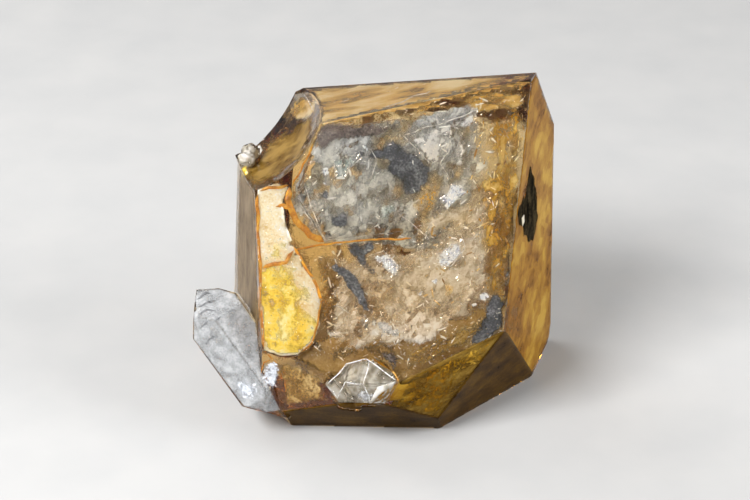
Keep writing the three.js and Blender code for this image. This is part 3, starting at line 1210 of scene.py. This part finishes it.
# Splinters and sparks
def splinters():
    scales = Scales()
    for outline, count in ((WINDOW, 300), (WHITE_TRIANGLE, 60), (LILAC_PATCH, 40), (GLASSY_PLATE, 30)):
        scales.fill(outline, count, radius=(0.04, 0.26), depth=(0.5, 2.5), ways=(-58, 32))
    for outline, count in ((WHITE_VEIL, 40), (WHITE_LENS, 20), (SPECKLED_ZONE, 80)):
        scales.fill(outline, count, radius=(0.04, 0.22), depth=(0.5, 1.8), ways=(-40, 50))
    # White splinters in the front crystal's painted highlight
    scales.fill(FRONT_CRYSTAL_SHINE, 30, radius=(0.04, 0.12), depth=(0.2, 0.6), ways=(-50, 60))
    stops = [
        (0, (0.05, 0.053, 0.058)), (0.2, (0.35, 0.36, 0.38)), (0.45, (0.8, 0.83, 0.88)),
        (0.7, (1, 1, 1)),
    ]
    scales.make("splinters", splinter_material("splinter", stops))


def golden_splinters():
    scales = Scales()
    scales.fill(MIDDLE, 300, radius=(0.04, 0.26), depth=(0.5, 2.5), ways=(-50, 40))
    scales.fill(TOP_STRIP, 70, radius=(0.04, 0.18), depth=(0.5, 2), ways=(15,))
    scales.fill(TOP_FACE, 70, radius=(0.04, 0.18), depth=(0.4, 1.5), ways=(15,))
    scales.fill(LOWER_RIGHT, 100, radius=(0.04, 0.18), depth=(0.5, 2), ways=(25,))
    scales.fill(LOWER_EDGE, 80, radius=(0.04, 0.2), depth=(0.5, 2), ways=(-50, 25))
    scales.fill(MIDDLE_LEFT, 90, radius=(0.04, 0.22), depth=(0.5, 2.5), ways=(-60, 70))
    stops = [
        (0, (0.2, 0.09, 0.015)), (0.25, (0.6, 0.38, 0.1)), (0.5, (0.9, 0.82, 0.64)),
        (0.75, (1, 0.99, 0.96)),
    ]
    scales.make("golden_splinters", splinter_material("gold_splinter", stops))


def amber_splinters():
    scales = Scales()
    for outline in (UPPER_RIGHT, RIGHT_STREAKS):
        scales.fill(outline, 120, radius=(0.04, 0.26), depth=(0.5, 3), ways=(75, 95))
    stops = [
        (0, (0.16, 0.06, 0.006)), (0.3, (0.5, 0.26, 0.03)), (0.6, (0.8, 0.56, 0.14)),
        (0.85, (1, 0.9, 0.62)),
    ]
    scales.make("amber_splinters", splinter_material("amber_splinter", stops))


def sparks():
    scales = Scales()
    counts = [(WINDOW, 130), (MIDDLE, 150), (UPPER_RIGHT, 25), (RIGHT_STREAKS, 30), (LOWER_RIGHT, 30)]
    for outline, count in counts + [(MIDDLE_LEFT, 35)]:
        scales.fill(outline, count, radius=(0.05, 0.2), depth=(0.6, 4))
    for outline in (GLASSY_PLATE, LILAC_PATCH, WHITE_TRIANGLE, WHITE_LENS, WHITE_VEIL, SPECKLED_ZONE):
        scales.fill(outline, 35, radius=(0.05, 0.28), depth=(0.5, 1))
    scales.fill(FRONT_CRYSTAL, 30, radius=(0.05, 0.2), depth=(0.3, 1.2))
    scales.fill(SCAR, 60, radius=(0.05, 0.22), depth=(0.16, 0.18))
    stops = [(0, (0.95, 0.9, 0.8)), (0.5, (1, 1, 1)), (1, (0.85, 0.92, 1))]
    scales.make("sparks", speckled_material("spark", stops, SPARK_CELLS, Metallic=1.0, Roughness=0.2))


make_camera()
make_stage()
make_light()
bpy.context.scene.view_settings.view_transform = "Standard"
bpy.context.scene.cycles.transparent_max_bounces = 24

bare = node_mesh()
crystal_tree = BVHTree.FromBMesh(bare)
bare.free()
make_crystal()
back_stain()
right_stain()
top_stain()
amber_streaks()
olive_stain()
brown_bands()
painted_shade_under_front()
lower_edge()
painted_shade_underside()
hollow_skin()
painted_reflection_left()
window_veil()
middle_haze()
pale_glow()
milky_crystal()
clear_crystal()
bright_patches()
glitter()
painted_glints()
splinters()
golden_splinters()
amber_splinters()
glassy_plates()
cracks_and_highlights()
golden_patches()
dark_films()
grey_dashes()
painted_shade_films()
black_inclusion()
inclusion_fleck()
scar_skin()
scar_yellow()
orange_lines()
sparks()
